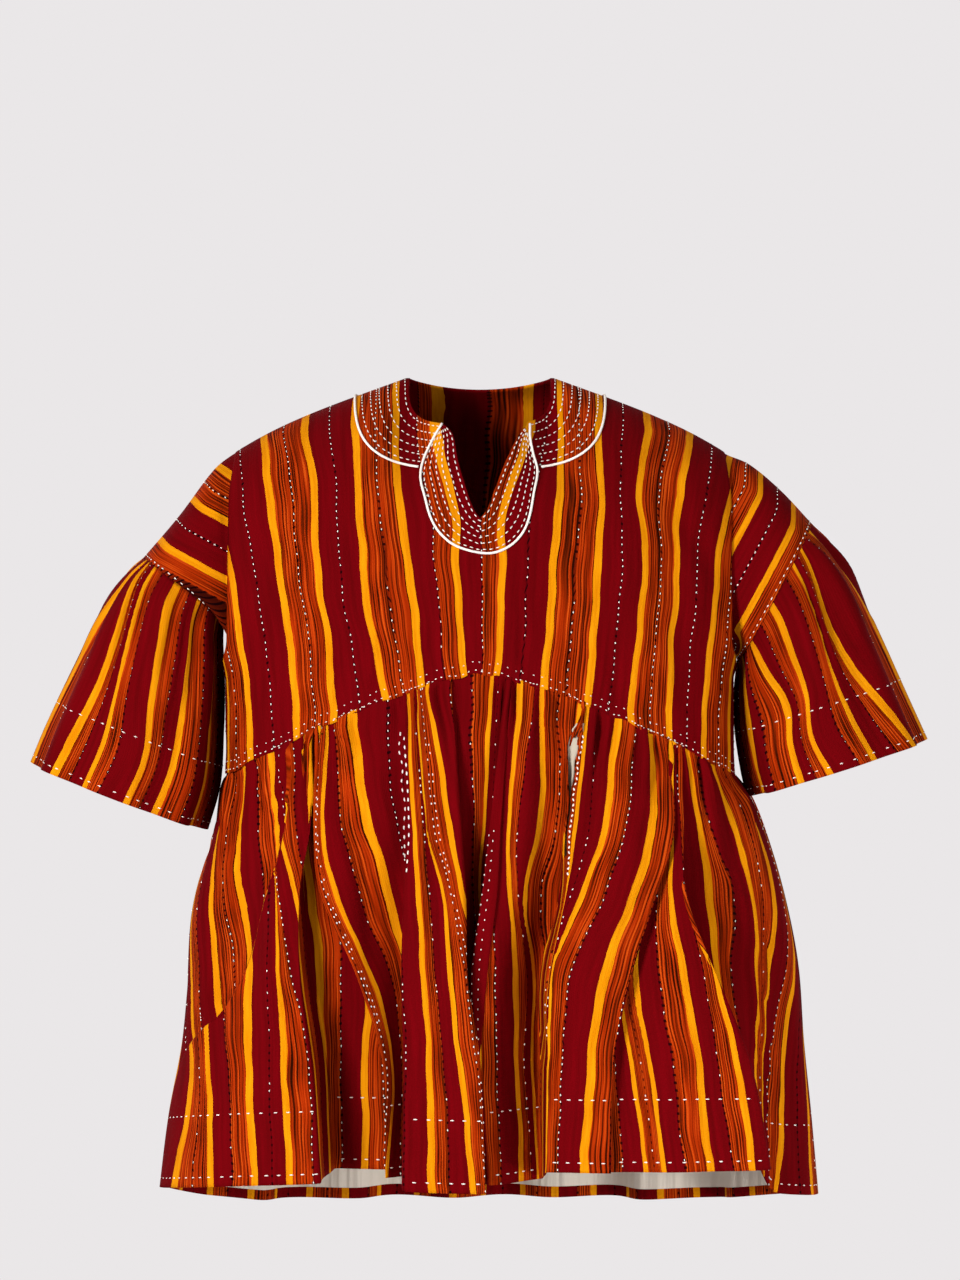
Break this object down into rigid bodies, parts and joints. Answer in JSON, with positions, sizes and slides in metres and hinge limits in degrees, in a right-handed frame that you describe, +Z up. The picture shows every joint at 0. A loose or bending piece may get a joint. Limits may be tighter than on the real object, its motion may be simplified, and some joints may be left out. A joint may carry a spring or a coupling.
{
  "type": "fugu smock",
  "caption": "Worn, hollow handwoven strip-cloth smock with a slit neck, a yoke over a full gathered skirt and wide gathered short sleeves.",
  "frame": {"origin": "middle of the neck opening, level with the sides of the neck, where the wearer's shoulders carry the smock", "axes": "+X towards the wearer's left sleeve as seen on the right from the front, +Y towards the back, +Z up; the front faces -Y"},
  "size_m": [0.8515, 0.4328, 0.7991],
  "materials": {
    "strip_cloth": "handwoven cotton strips in maroon, yellow and orange ikat",
    "white_cloth": "plain undyed cotton",
    "white_cord": "twisted white cotton cord"
  },
  "bodies": {
    "root": {"yoke_front": "strip_cloth", "yoke_back": "strip_cloth", "skirt_front": "strip_cloth", "skirt_back": "strip_cloth", "shoulder_left": "strip_cloth", "shoulder_right": "strip_cloth", "sleeve_left": "strip_cloth", "sleeve_right": "strip_cloth", "pocket_lining": "white_cloth", "collar_cord": "white_cord", "slit_cord": "white_cord"}
  },
  "joints": []
}
